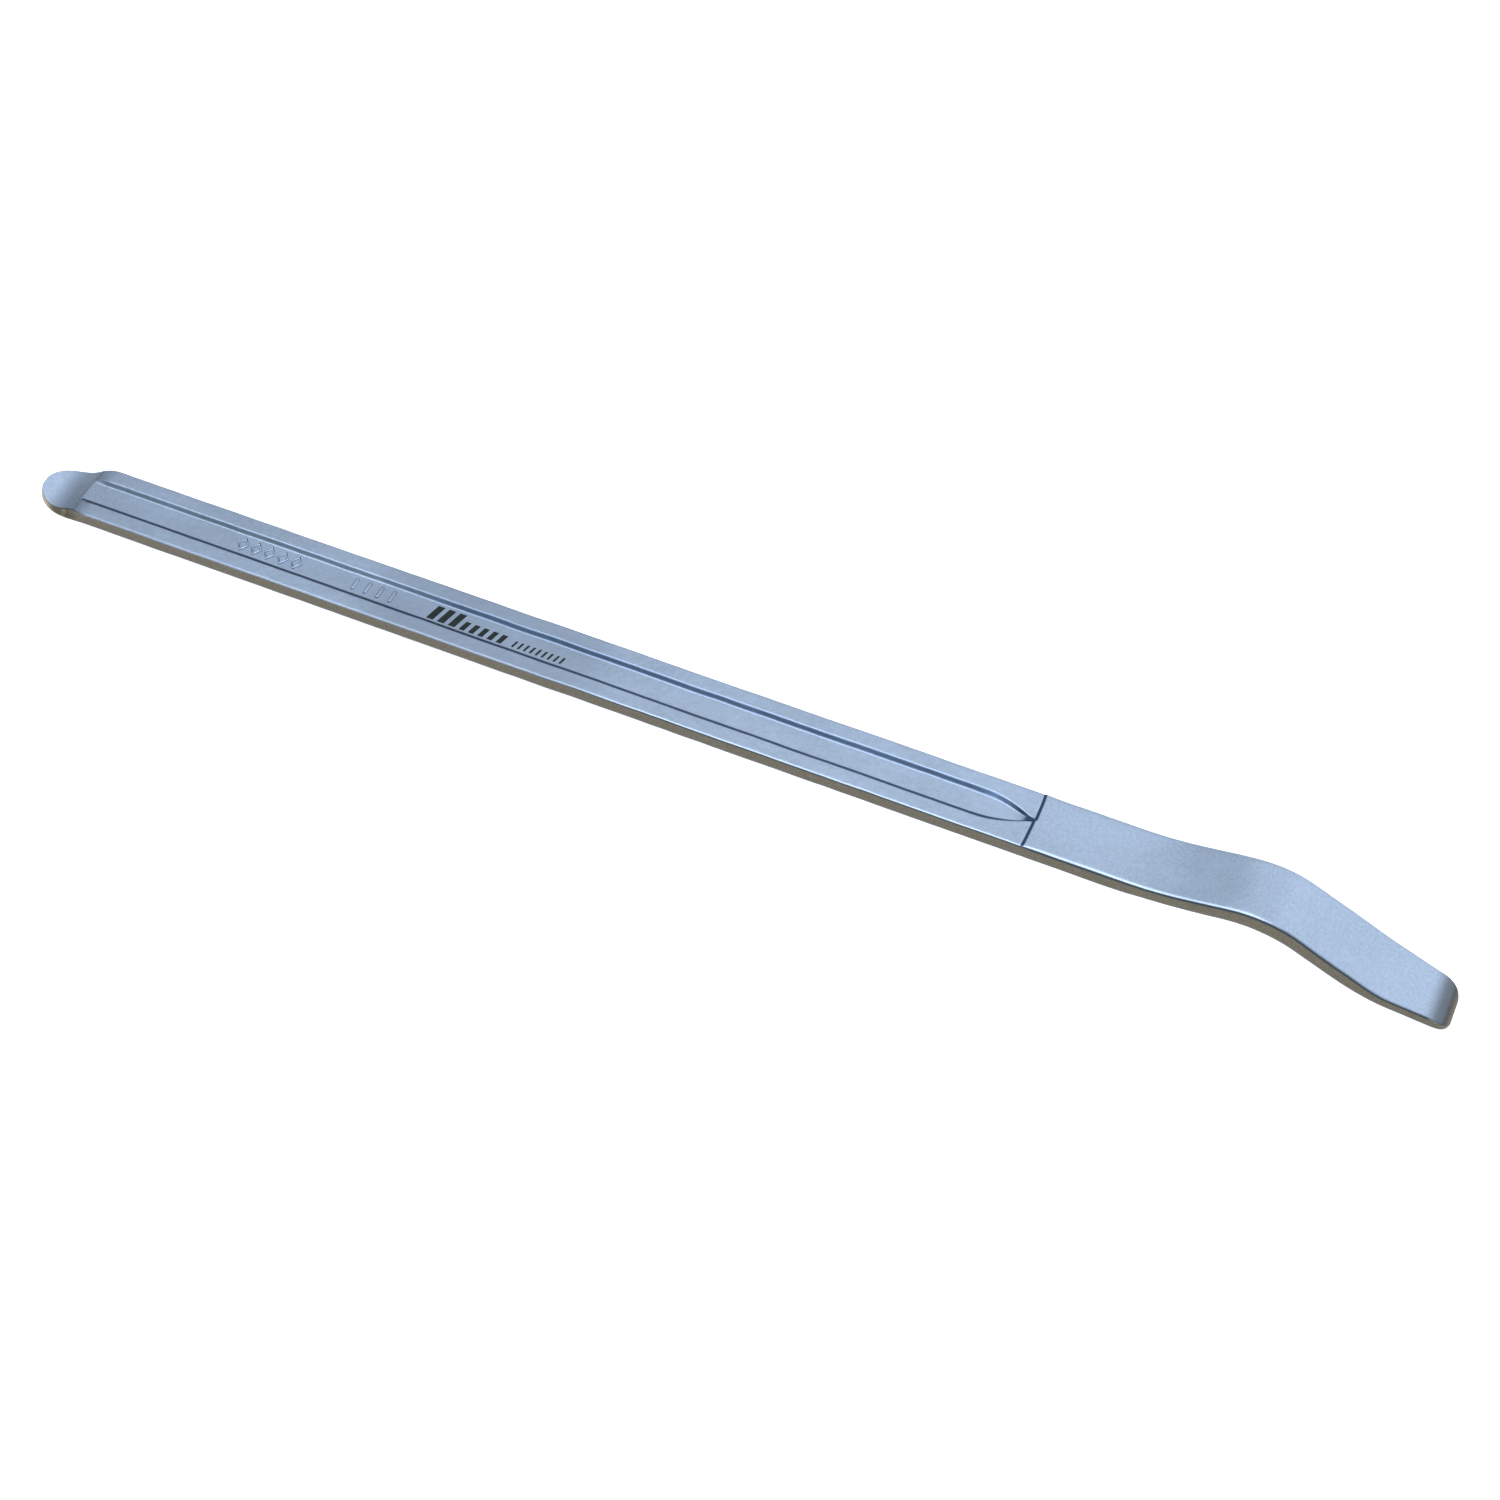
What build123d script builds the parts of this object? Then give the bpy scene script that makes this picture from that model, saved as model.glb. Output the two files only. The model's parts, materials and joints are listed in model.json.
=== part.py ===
from build123d import *
import os
from math import atan2, cos, degrees, sin, tan, radians

# Forged tyre lever: one steel bar with a spoon at one end and a cranked blade at the other.
#
# It is drawn along +X with the spoon's lip at X = 0, the blade's tip at X = LENGTH and the
# rims of the shank at Z = 0. At the end it is laid down as it rests on a bench, on the
# spoon's belly and on the blade's tip, with the origin under the middle of its box.

# Bar
LENGTH = 650.0
WIDTH = 29.0
THICKNESS = 7.0

# Long edges, rounded by the forging dies
UNDER_EDGE = 0.9
RIM_EDGE = 0.5
BLADE_EDGE = 1.0
EDGE_BAND = 1.0

# Channel between the rims, the same in the top and in the underside
CHANNEL_HALF = 7.1
CHANNEL_FLOOR_HALF = 5.6
CHANNEL_DEPTH = 1.5
CHANNEL_BEND = 448.5
CHANNEL_POINT = 469.2
ARCH_WAIST = (0.55, 0.62)
CHANNEL_START = 12.0
UNDER_CHANNEL_START = 36.0

# Spoon from the side: a thin lip, a hollow, a shoulder up to the rims and a belly underneath
LIP_DROP = 3.9
LIP_OVERRUN = 2.0
HOLLOW_X = 12.0
HOLLOW_DROP = 5.9
HOLLOW_RADIUS = 11.0
SHOULDER_X = 26.0
SHOULDER_RADIUS = 12.0
BELLY_X = 11.0
BELLY_DROP = 0.9
BELLY_RADIUS = 60.0
BELLY_END_X = 28.0
BELLY_END_RADIUS = 90.0

# Spoon from above: its outline at the underside, and the smaller one its sides lean in to
SPOON_END = 44.0
SPOON_UNDER = [(0.0, 9.35, 12.4), (19.4, 15.0, 14.0), (30.0, WIDTH / 2, 40.0)]
SPOON_TOP = [(2.3, 4.9, 6.5), (18.5, 10.6, 20.0), (29.5, WIDTH / 2, 16.0)]
SPOON_UNDER_SLOPE = 40.0

# Blade: a small step up from the rims, a hump, then the crank down to the tip
STEP_X = 470.0
STEP_RISE = 0.35
STEP_RUN = 0.5
BLADE_TOP = [(524.8, STEP_RISE), (571.3, 9.4), (619.5, -15.2), (644.0, -22.1)]
BLADE_TOP_RADII = [134.0, 45.0, 35.0, 14.0]
BLADE_UNDER = [(609.4, -17.8), (570.1, 1.3), (521.5, -THICKNESS)]
BLADE_UNDER_RADII = [77.0, 51.0, 230.0]
TIP_TOP = -27.2
TIP_UNDER = -28.9
TIP_TOP_RADIUS = 1.0

# Blade from above: it narrows to a tip with round corners
TAPER_X = 620.0
TAPER_RADIUS = 150.0
TIP_HALF = 10.6
TIP_CORNER_RADIUS = 7.5

# Marks on the channel's floor: raised lozenges, raised bars, and a printed band of stripes
RAISED_HEIGHT = 0.3
LOZENGE_X = 102.5
LOZENGE_PITCH = 6.6
LOZENGE_COUNT = 5
LOZENGE_HALF = (2.6, 3.4)
LOZENGE_LINE = 0.75
BAR_X = 158.0
BAR_PITCH = 6.0
BAR_COUNT = 4
BAR_SIZE = (2.0, 6.4)
INK_THICKNESS = 0.05
INK_LEAN = 15.0
# Each run of stripes: first centre along the bar, middle across it, count, pitch, width, height
INK_RUNS = [
    (197.3, -0.2, 3, 5.2, 3.2, 8.0),
    (212.2, -1.8, 5, 4.4, 2.4, 5.0),
    (236.0, -2.1, 9, 2.8, 1.0, 3.6),
]

# Taller and wider than the bar: how far the outlines are drawn out before they are crossed
TALL = 80.0

# Laying the bar down: fineness of the faceted copy, and rounds of turning
REST_TOLERANCE = 0.05
REST_ROUNDS = 4


def side_outline():
    """The bar seen from the side: X along it, Z up."""
    nose = [(-LIP_OVERRUN, -THICKNESS), (-LIP_OVERRUN, -LIP_DROP)]
    spoon = [(HOLLOW_X, -HOLLOW_DROP), (SHOULDER_X, 0)]
    step = [(STEP_X - STEP_RUN, 0), (STEP_X, STEP_RISE)]
    tip = [(LENGTH, TIP_TOP), (LENGTH, TIP_UNDER)]
    belly = [(BELLY_END_X, -THICKNESS), (BELLY_X, -THICKNESS - BELLY_DROP)]
    points = nose + spoon + step + BLADE_TOP + tip + BLADE_UNDER + belly
    radii = [0, 0, HOLLOW_RADIUS, SHOULDER_RADIUS, 0, 0]
    radii += BLADE_TOP_RADII + [TIP_TOP_RADIUS, 0] + BLADE_UNDER_RADII
    radii += [BELLY_END_RADIUS, BELLY_RADIUS]
    return FilletPolyline(*points, radius=radii, close=True)


def mirrored_outline(half):
    """A closed outline, symmetric about Y = 0, from the corners (x, y, radius) of one half."""
    corners = half + [(x, -y, radius) for x, y, radius in reversed(half)]
    points = [(x, y) for x, y, radius in corners]
    return make_face(
        FilletPolyline(*points, radius=[radius for x, y, radius in corners], close=True)
    )


def spoon_plan():
    """The spoon's end of the bar: sides that lean in from the underside to the top."""
    end = [(SPOON_END, WIDTH / 2, 0)]
    under = Pos(0, 0, -THICKNESS) * mirrored_outline(SPOON_UNDER + end)
    top = mirrored_outline(SPOON_TOP + end)
    foot = extrude(under, -THICKNESS / 2, taper=SPOON_UNDER_SLOPE)
    return loft([under, top], ruled=True) + foot


def blade_plan():
    """The rest of the bar from above: parallel sides, then the narrowing tip."""
    half = [
        (SPOON_END, WIDTH / 2, 0),
        (TAPER_X, WIDTH / 2, TAPER_RADIUS),
        (LENGTH, TIP_HALF, TIP_CORNER_RADIUS),
    ]
    return extrude(mirrored_outline(half), TALL / 2, both=True)


def channel_outline(half, start, point):
    """A long panel that ends in a pointed arch at +X, its sides bending in at CHANNEL_BEND."""
    share_x, share_y = ARCH_WAIST
    waist = (CHANNEL_BEND + (point - CHANNEL_BEND) * share_x, half * share_y)
    side = Line((start, half), (CHANNEL_BEND, half))
    arch = ThreePointArc((CHANNEL_BEND, half), waist, (point, 0))
    end = Line((start, half), (start, -half))
    return make_face([side, arch, arch.mirror(Plane.XZ), side.mirror(Plane.XZ), end])


def channel_cut(start):
    """The metal that a die's ridge pushes out: drafted walls and a flat floor."""
    draft = CHANNEL_HALF - CHANNEL_FLOOR_HALF
    mouth = channel_outline(CHANNEL_HALF, start, CHANNEL_POINT)
    floor = channel_outline(CHANNEL_FLOOR_HALF, start + draft, CHANNEL_POINT - 2 * draft)
    return loft([mouth, Pos(0, 0, -CHANNEL_DEPTH) * floor])


def long_edges(shape, at_x, above):
    """The two long outer edges that pass the station at_x, above or below mid-thickness."""
    found = []
    for edge in shape.edges():
        box = edge.bounding_box()
        passes = box.min.X < at_x < box.max.X
        outer = abs(edge.center().Y) > WIDTH / 2 - EDGE_BAND
        if passes and outer and (edge.center().Z > -THICKNESS / 2) == above:
            found.append(edge)
    return found


def rounded_blade(blade):
    """The shank and blade with their die-forged edges."""
    middle_x = LENGTH / 2
    past_step_x = STEP_X + THICKNESS
    blade = fillet(long_edges(blade, middle_x, above=False), UNDER_EDGE)
    blade = fillet(long_edges(blade, past_step_x, above=True), BLADE_EDGE)
    return fillet(long_edges(blade, middle_x, above=True), RIM_EDGE)


def bar_blank():
    """The bar's side outline, as wide as its outlines from above allow."""
    side = extrude(Plane.XZ * make_face(side_outline()), TALL / 2, both=True)
    return (side & spoon_plan()) + rounded_blade(side & blade_plan())


def on_floor(x, y, shape):
    """A flat shape moved to a place on the channel's floor."""
    return Pos(x, y, -CHANNEL_DEPTH) * shape


def raised_marks():
    """Forged marks on the channel's floor: open lozenges, then plain round-ended bars."""
    half_x, half_y = LOZENGE_HALF
    outer = Polygon((half_x, 0), (0, half_y), (-half_x, 0), (0, -half_y))
    lozenge = outer - offset(outer, -LOZENGE_LINE)
    bar = SlotOverall(BAR_SIZE[1], BAR_SIZE[0], rotation=90)
    marks = [on_floor(LOZENGE_X + i * LOZENGE_PITCH, 0, lozenge) for i in range(LOZENGE_COUNT)]
    marks += [on_floor(BAR_X + i * BAR_PITCH, 0, bar) for i in range(BAR_COUNT)]
    return [extrude(mark, RAISED_HEIGHT, both=True) for mark in marks]


def forged_lever():
    """The whole forging: bar, channels and raised marks."""
    under_channel = Pos(0, 0, -THICKNESS) * channel_cut(UNDER_CHANNEL_START).mirror(Plane.XY)
    lever = bar_blank() - channel_cut(CHANNEL_START) - under_channel
    for mark in raised_marks():
        lever += mark
    return lever


def printed_mark():
    """A run of leaning stripes, printed in black on the channel's floor."""
    lean = tan(radians(INK_LEAN))
    stripes = []
    for first_x, middle_y, count, pitch, width, height in INK_RUNS:
        shift = lean * height / 2
        corners = [
            (-width / 2 - shift, -height / 2),
            (width / 2 - shift, -height / 2),
            (width / 2 + shift, height / 2),
            (-width / 2 + shift, height / 2),
        ]
        stripe = Polygon(*corners, align=None)
        for i in range(count):
            place = on_floor(first_x + i * pitch, middle_y, stripe)
            stripes.append(extrude(place, INK_THICKNESS))
    return Compound(stripes)


def lowest(points, angle):
    """Height and station of the lowest point once the bar is turned up by an angle."""
    return min((x * sin(angle) + z * cos(angle), x) for x, z in points)


def rest_angle(lever):
    """The angle that lays the lever on the spoon's belly and the blade's tip."""
    points = [(vertex.X, vertex.Z) for vertex in lever.tessellate(REST_TOLERANCE)[0]]
    spoon = [point for point in points if point[0] < LENGTH / 2]
    blade = [point for point in points if point[0] > LENGTH / 2]
    angle = 0.0
    for _ in range(REST_ROUNDS):
        spoon_z, spoon_x = lowest(spoon, angle)
        blade_z, blade_x = lowest(blade, angle)
        angle += atan2(spoon_z - blade_z, blade_x - spoon_x)
    return angle


def laid_down(lever):
    """The turn and shift that rest the lever on Z = 0 with its box centred on the origin."""
    turn = Rot(0, -degrees(rest_angle(lever)), 0)
    box = (turn * lever).bounding_box()
    middle = box.center()
    return Pos(-middle.X, -middle.Y, -box.min.Z) * turn


def main():
    os.makedirs("parts", exist_ok=True)
    lever = forged_lever()
    rest = laid_down(lever)
    export_step(rest * lever, "parts/forged_lever.step")
    export_step(rest * printed_mark(), "parts/printed_mark.step")


if __name__ == "__main__":
    main()
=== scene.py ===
import json
import math

import bmesh
import bpy
from mathutils import Euler, Matrix, Vector


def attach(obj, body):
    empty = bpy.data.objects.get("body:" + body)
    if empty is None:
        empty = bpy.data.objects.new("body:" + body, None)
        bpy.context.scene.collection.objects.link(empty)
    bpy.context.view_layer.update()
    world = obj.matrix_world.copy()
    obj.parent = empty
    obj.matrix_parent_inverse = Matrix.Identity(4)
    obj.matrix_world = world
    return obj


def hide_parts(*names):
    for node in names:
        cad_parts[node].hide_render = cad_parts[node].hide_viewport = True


bl_info = {
    "name": "Forged Tyre Lever",
    "version": (1, 0, 0),
    "blender": (4, 5, 0),
    "location": "View3D > Sidebar > Tyre Lever",
    "description": "Makes a forged, satin plated tyre lever and a plain studio for it",
    "category": "Add Mesh",
}

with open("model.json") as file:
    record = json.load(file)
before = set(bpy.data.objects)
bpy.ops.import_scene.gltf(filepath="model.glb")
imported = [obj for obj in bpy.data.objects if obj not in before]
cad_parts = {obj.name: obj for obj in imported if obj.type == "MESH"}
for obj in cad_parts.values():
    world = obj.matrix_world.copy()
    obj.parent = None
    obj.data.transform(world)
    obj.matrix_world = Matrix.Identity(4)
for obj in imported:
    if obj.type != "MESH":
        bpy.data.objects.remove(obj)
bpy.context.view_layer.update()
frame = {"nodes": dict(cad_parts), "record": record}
MM = 0.001

# The bar lies along X while it is shaped: spoon's lip at X = 0, rims of the shank at Z = 0.
# Its places and sizes are in millimetres.
LENGTH = 650.0
HALF_WIDTH = 14.5
THICKNESS = 7.0

# The low step across the bar, with a shallow groove at its foot
STEP_FOOT = 469.0
STEP_HEAD = 470.4
STEP_GROOVE = 0.15
STEP_RISE = 0.35

# The bar from the side: corners (x, z, radius), listed towards +X
SPOON_END = 34.0
SPOON_TOP = [
    (-2.0, -3.66, 0),
    (10.4, -5.77, 12.0),
    (16.5, -4.60, 25.0),
    (26.7, 0, 20.0),
    (40.0, 0, 0),
]
BELLY_END = 60.0
BELLY = [
    (-2.0, -THICKNESS, 0),
    (11.0, -7.9, 60.0),
    (28.0, -THICKNESS, 90.0),
    (BELLY_END, -THICKNESS, 0),
]
BLADE_TOP = [
    (470.0, STEP_RISE, 0),
    (524.8, STEP_RISE, 134.0),
    (571.3, 9.4, 45.0),
    (619.5, -15.2, 35.0),
    (642.4, -21.66, 13.0),
    (648.4, -25.4, 5.5),
    (LENGTH, -28.3, 0),
]
BLADE_UNDER = [
    (440.0, -THICKNESS, 0),
    (521.5, -THICKNESS, 230.0),
    (570.1, 1.3, 51.0),
    (609.4, -17.8, 77.0),
    (LENGTH, -28.9, 0),
]

# The spoon from above: the length of its round nose at the underside and at the top edge,
# the half-width of the top edge's nose, and where that edge flares out to the full width
NOSE_UNDER = 20.0
NOSE_TOP = 15.0
NOSE_TOP_HALF = 11.7
NOSE_FLARE = (17.0, 31.0)
NOSE_BLUNT = 0.3

# How far the nose's top edge leans back at the lip, over what length the lean dies away, how
# much of it the outline follows, and how narrow the nose gets before its middle does too
LIP_LEAN = 1.4
LIP_LEAN_LENGTH = 15.0
LIP_LEAN_SHARE = 0.2
NOSE_HOLD = 0.8

# The blade from above: corners (x, half-width, radius), then the tip's round corners
TAPER = [(500.0, HALF_WIDTH, 0), (620.0, HALF_WIDTH, 150.0), (LENGTH, 10.75, 0)]
TAPER_START = 600.0
TIP_CORNER_START = 640.0
TIP_CORNER_LENGTH = 10.2
TIP_CORNER_POWER = 4
TIP_BLUNT = 0.05

# The channels: where each starts and over what length it sinks, where the top one has its
# full depth at the latest, and the arch that closes both before the step
TOP_CHANNEL = (10.0, 1.0)
UNDER_CHANNEL = (36.0, 1.4)
TOP_CHANNEL_OPEN = 20.0
ARCH_START = 448.5
ARCH_POINT = STEP_HEAD
ARCH_FLOOR_POINT = 468.8
ARCH_POWER = 1.6
ARCH_RUN_OUT = 6.5
ARCH_FLOOR_SHARE = 5.4 / 5.6
ARCH_FLOOR_EDGE = 5.45
ARCH_MOUTH_GAP = 0.03
ARCH_FLOOR_GAP = 0.012

# Behind the arch the rails swing back to their places
SWING_BACK = (470.0, 481.0)

# The blade's upper edges: where they end, over what length they get rounder, and by how much
ROUND_EDGE_END = 642.0
ROUND_EDGE_RUN = 4.0
ROUND_EDGE_IN = 0.07
ROUND_EDGE_DOWN = 1.0

# The step's line: its rings, its bow, the far half's lead with its place and breadth, and its
# raggedness with the waves' frequency across the bar and their phase
STEP_RINGS = (468.2, 468.6, STEP_FOOT, STEP_HEAD, 471.0)
STEP_BOW = 0.3
STEP_LEAD = (0.65, 6.5, 4.5)
STEP_RAGGED = (0.12, 2.3, 1.0)

# Slow wanderings of the forged edges: name, axis, size in metres, share of the waviness
WANDERS = [("sway", "Y", 0.021, 1.0), ("shiver", "Y", 0.006, 0.35), ("ripple", "Z", 0.034, 0.35)]

# Rails that run the length of the bar, and the levels of its sides
FLOOR_RAIL = 5.4
WALL_RAIL = 6.28
MOUTH_RAIL = 7.15
LAST_INNER_RAIL = 7.6
EDGE_RAIL = 13.2
RAILS = [2.5, 4.95, FLOOR_RAIL, WALL_RAIL, MOUTH_RAIL, LAST_INNER_RAIL, 10.4, EDGE_RAIL]
LEVELS = [-1.2, -3.4, -5.2]

# How close to a cut a point counts as on it, the least move or stretch that is worth making,
# and how close together in metres the cuts would share a point
NEAR = 0.02
TINY = 1e-6
WELD = 1e-7

# Point of the shank's flat face that the record's mount names
SHANK_MOUNT = (250.0, 10.5, -THICKNESS)

# Rows of marks on the channel's floor: first centre, pitch and count
LOZENGES = (102.5, 6.6, 5)
BARS = (158.0, 6.0, 4)
LOZENGE_RADIUS = 2.3
LOZENGE_STRETCH = 1.35
BAR_SIZE = (1.6, 6.6)
BAR_SUNK = 0.3


def shank_mount():
    """The flat face under the shank: its place and the direction it faces."""
    for mount in frame["record"]["mounts"]:
        if mount["name"] == "shank_underside":
            return Vector(mount["pos_m"]), Vector(mount["axis"])
    raise RuntimeError("the record has no mount named shank_underside")


def rest_turn():
    """The turn that lays the bar on its belly and its tip."""
    axis = shank_mount()[1]
    return Euler((0, -math.atan2(axis.x, -axis.z), 0))


def rest_shift():
    """The shift that goes with the turn, from the place of the shank's flat face."""
    return shank_mount()[0] - rest_turn().to_matrix() @ (Vector(SHANK_MOUNT) * MM)


class LeverSizes(bpy.types.PropertyGroup):
    """Sizes of the forging."""

    width: bpy.props.FloatProperty(
        name="Width",
        description="Width of the bar",
        default=2 * HALF_WIDTH * MM,
        unit="LENGTH",
    )
    thickness: bpy.props.FloatProperty(
        name="Thickness",
        description="Thickness of the shank",
        default=THICKNESS * MM,
        unit="LENGTH",
    )
    channel_depth: bpy.props.FloatProperty(
        name="Channel depth",
        description="Depth of the channel in each face of the shank",
        default=0.0015,
        unit="LENGTH",
    )
    waviness: bpy.props.FloatProperty(
        name="Waviness",
        description="How far the forged edges wander from a straight line",
        default=0.00035,
        unit="LENGTH",
    )


class PlatingLook(bpy.types.PropertyGroup):
    """Colours of the finish, and the painted reflection on the flanks."""

    face: bpy.props.FloatVectorProperty(
        name="Plating",
        description="Colour that the plated faces reflect",
        default=(0.42, 0.53, 0.71),
        subtype="COLOR",
        min=0,
        max=1,
    )
    # Painted reflection: the dark olive-brown painted on the flanks, the far rims and the tip's
    # end for what they reflect
    flank_reflection: bpy.props.FloatVectorProperty(
        name="Flank",
        description="Colour that the trimmed sides of the bar reflect",
        default=(0.110, 0.099, 0.076),
        subtype="COLOR",
        min=0,
        max=1,
    )
    ink: bpy.props.FloatVectorProperty(
        name="Ink",
        description="Colour of the printed stripes",
        default=(0.007, 0.014, 0.014),
        subtype="COLOR",
        min=0,
        max=1,
    )
    roughness: bpy.props.FloatProperty(
        name="Roughness",
        description="How matt the blasted plating is",
        default=0.29,
        subtype="FACTOR",
        min=0,
        max=1,
    )


class MarkSizes(bpy.types.PropertyGroup):
    """Sizes of the raised marks."""

    height: bpy.props.FloatProperty(
        name="Height",
        description="How far the marks stand up from the channel's floor",
        default=0.00060,
        unit="LENGTH",
    )
    line: bpy.props.FloatProperty(
        name="Line",
        description="Width of the lozenges' outline",
        default=0.0011,
        unit="LENGTH",
    )


class StudioSetup(bpy.types.PropertyGroup):
    """Camera and lights."""

    azimuth: bpy.props.FloatProperty(
        name="Azimuth",
        description="Camera's turn about the lever, from the -Y side towards +X",
        default=math.radians(21.439),
        subtype="ANGLE",
    )
    elevation: bpy.props.FloatProperty(
        name="Elevation",
        description="Camera's angle above the bench",
        default=math.radians(52.746),
        subtype="ANGLE",
    )
    roll: bpy.props.FloatProperty(
        name="Roll",
        description="Camera's turn about its own line of sight",
        default=math.radians(3.256),
        subtype="ANGLE",
    )
    target: bpy.props.FloatVectorProperty(
        name="Target",
        description="Point that the camera looks at",
        default=(0.0220, -0.00647, 0.008),
        subtype="XYZ",
        unit="LENGTH",
    )
    distance: bpy.props.FloatProperty(
        name="Distance",
        description="From the camera to its target",
        default=1.20093,
        unit="LENGTH",
    )
    lens: bpy.props.FloatProperty(
        name="Lens",
        description="Focal length in millimetres on a 36 mm sensor",
        default=69.264,
    )
    sky: bpy.props.FloatProperty(
        name="Room light",
        description="Strength of the light that comes from all round",
        default=1.25,
    )
    softbox: bpy.props.FloatProperty(
        name="Softbox",
        description="Power of the overhead softbox in watts",
        default=9.5,
    )


# ---- outlines -------------------------------------------------------------------------


def height_at(outline, x):
    """Height of a rounded outline at a station x."""
    for before, corner, after in zip(outline, outline[1:], outline[2:]):
        first = math.atan2(corner[1] - before[1], corner[0] - before[0])
        second = math.atan2(after[1] - corner[1], after[0] - corner[0])
        bend, radius = second - first, corner[2]
        tangent = radius * math.tan(abs(bend) / 2)
        start = corner[0] - tangent * math.cos(first)
        end = corner[0] + tangent * math.cos(second)
        if start <= x <= end:
            side = math.copysign(radius, bend)
            centre_x = start - side * math.sin(first)
            centre_z = corner[1] - tangent * math.sin(first) + side * math.cos(first)
            return centre_z - math.copysign(math.sqrt(radius**2 - (x - centre_x) ** 2), side)
        if x < start:
            return corner[1] + (x - corner[0]) * math.tan(first)
    end_slope = (outline[-1][1] - outline[-2][1]) / (outline[-1][0] - outline[-2][0])
    return outline[-1][1] + (x - outline[-1][0]) * end_slope


def near(value, place):
    """Whether a value is at a place, within the accuracy of the cuts."""
    return abs(value - place) < NEAR


def top_at(x):
    """Height of the top face at a station x."""
    if x < SPOON_END:
        return height_at(SPOON_TOP, x)
    if near(x, STEP_FOOT):
        return -STEP_GROOVE
    return height_at(BLADE_TOP, x) if x >= STEP_HEAD - NEAR else 0.0


def under_at(x):
    """Height of the underside at a station x."""
    return height_at(BELLY, x) if x < BELLY_END else height_at(BLADE_UNDER, x)


def share(x, start, length):
    """How far x has come along a stretch, from 0 at its start to 1 at its end."""
    return min(max((x - start) / length, 0.0), 1.0)


def ease(x, start, end):
    """0 before start, 1 after end, and a smooth rise between them."""
    t = share(x, start, end - start)
    return t * t * (3 - 2 * t)


def bow(x, length, half):
    """Half-width of a round nose of that length, with its end at x = 0."""
    t = 1 - share(x, 0.0, length)
    return half * math.sqrt(1 - t * t)


def nose_half(x, top):
    """Half-width of the spoon at its underside or at its top edge."""
    x_kept = max(x, NOSE_BLUNT)
    if top:
        flare = ease(x, *NOSE_FLARE) * (HALF_WIDTH - NOSE_TOP_HALF)
        return bow(x_kept, NOSE_TOP, NOSE_TOP_HALF) + flare
    return bow(x_kept, NOSE_UNDER, HALF_WIDTH)


def tip_half(x):
    """Half-width of the blade towards its tip."""
    corner = share(x, TIP_CORNER_START, TIP_CORNER_LENGTH)
    return height_at(TAPER, x) * (1 - corner**TIP_CORNER_POWER) ** (1 / TIP_CORNER_POWER)


def arch_share(x, point):
    """Share of its width that the channel still has where it closes to a pointed arch."""
    return 1 - share(x, ARCH_START, point - ARCH_START) ** ARCH_POWER


# ---- edit-mode tools ------------------------------------------------------------------


def select_only(obj):
    """Makes one object the only selected and the active one."""
    bpy.ops.object.select_all(action="DESELECT")
    obj.select_set(True)
    bpy.context.view_layer.objects.active = obj


def cut(place, normal):
    """Cuts every face of the edit mesh along a plane."""
    bpy.ops.mesh.select_all(action="SELECT")
    bpy.ops.mesh.bisect(plane_co=place, plane_no=normal, threshold=WELD)


def pick(indices):
    """Selects these points of the edit mesh and nothing else."""
    mesh = bmesh.from_edit_mesh(bpy.context.edit_object.data)
    mesh.verts.ensure_lookup_table()
    bpy.ops.mesh.select_all(action="DESELECT")
    for index in indices:
        mesh.verts[index].select = True
    mesh.select_flush_mode()
    bmesh.update_edit_mesh(bpy.context.edit_object.data, loop_triangles=False)


def move(indices, x=0.0, y=0.0, z=0.0):
    """Moves points by millimetres."""
    if indices and max(abs(x), abs(y), abs(z)) > TINY:
        pick(indices)
        bpy.ops.transform.translate(value=Vector((x, y, z)) * MM)


def scale(indices, y=1.0, z=1.0):
    """Scales points across the bar and in height, about the bar's axis in its top face."""
    if indices and (abs(y - 1) > TINY or abs(z - 1) > TINY):
        pick(indices)
        bpy.ops.transform.resize(value=(1, y, z), center_override=(0, 0, 0))


# ---- the lever ------------------------------------------------------------------------


def stations():
    """Where the bar is cut across, from the spoon's lip to the blade's tip."""
    spoon = [0.7, 1.7, 3.3, 5.5, 8.2, 11.2, 14.4, 17.4, 20.0, 21.8, 22.8, 23.3, 23.8, 24.8, 26.2]
    spoon += [28.0, 30.5, 33.0, 35.9, 37.5, 41.0]
    shank = [47.0 + 7.9 * i for i in range(51)]
    arch = [448.5, 452.5, 456.5, 460.0, 463.0, 465.4, 467.3, 468.2, 468.6]
    step = [STEP_FOOT, STEP_HEAD, 471.0, 472.5, 476.0, 481.0]
    blade = [486.0 + 5.0 * i for i in range(31)]
    tip = [638.5, 640.8, 642.8, 644.6, 646.3, 647.7, 648.8, 649.5]
    return spoon + shank + arch + step + blade + tip


def straight_bar(sizes):
    """A straight bar, cut along its rails, its levels and its stations."""
    size = (LENGTH * MM, sizes.width, sizes.thickness)
    place = (size[0] / 2, 0, -size[2] / 2)
    bpy.ops.mesh.primitive_cube_add(size=1, location=place)
    bar = bpy.context.object
    bar.name = "lever_body"
    bar.scale = size
    bpy.ops.object.transform_apply(location=True, rotation=True, scale=True)
    bpy.ops.object.mode_set(mode="EDIT")
    for x in stations():
        cut((x * MM, 0, 0), (1, 0, 0))
    cut((0, 0, 0), (0, 1, 0))
    for y in RAILS:
        cut((0, y * MM, 0), (0, 1, 0))
        cut((0, -y * MM, 0), (0, 1, 0))
    for z in LEVELS:
        cut((0, 0, z * MM), (0, 0, 1))
    return bar


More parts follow.
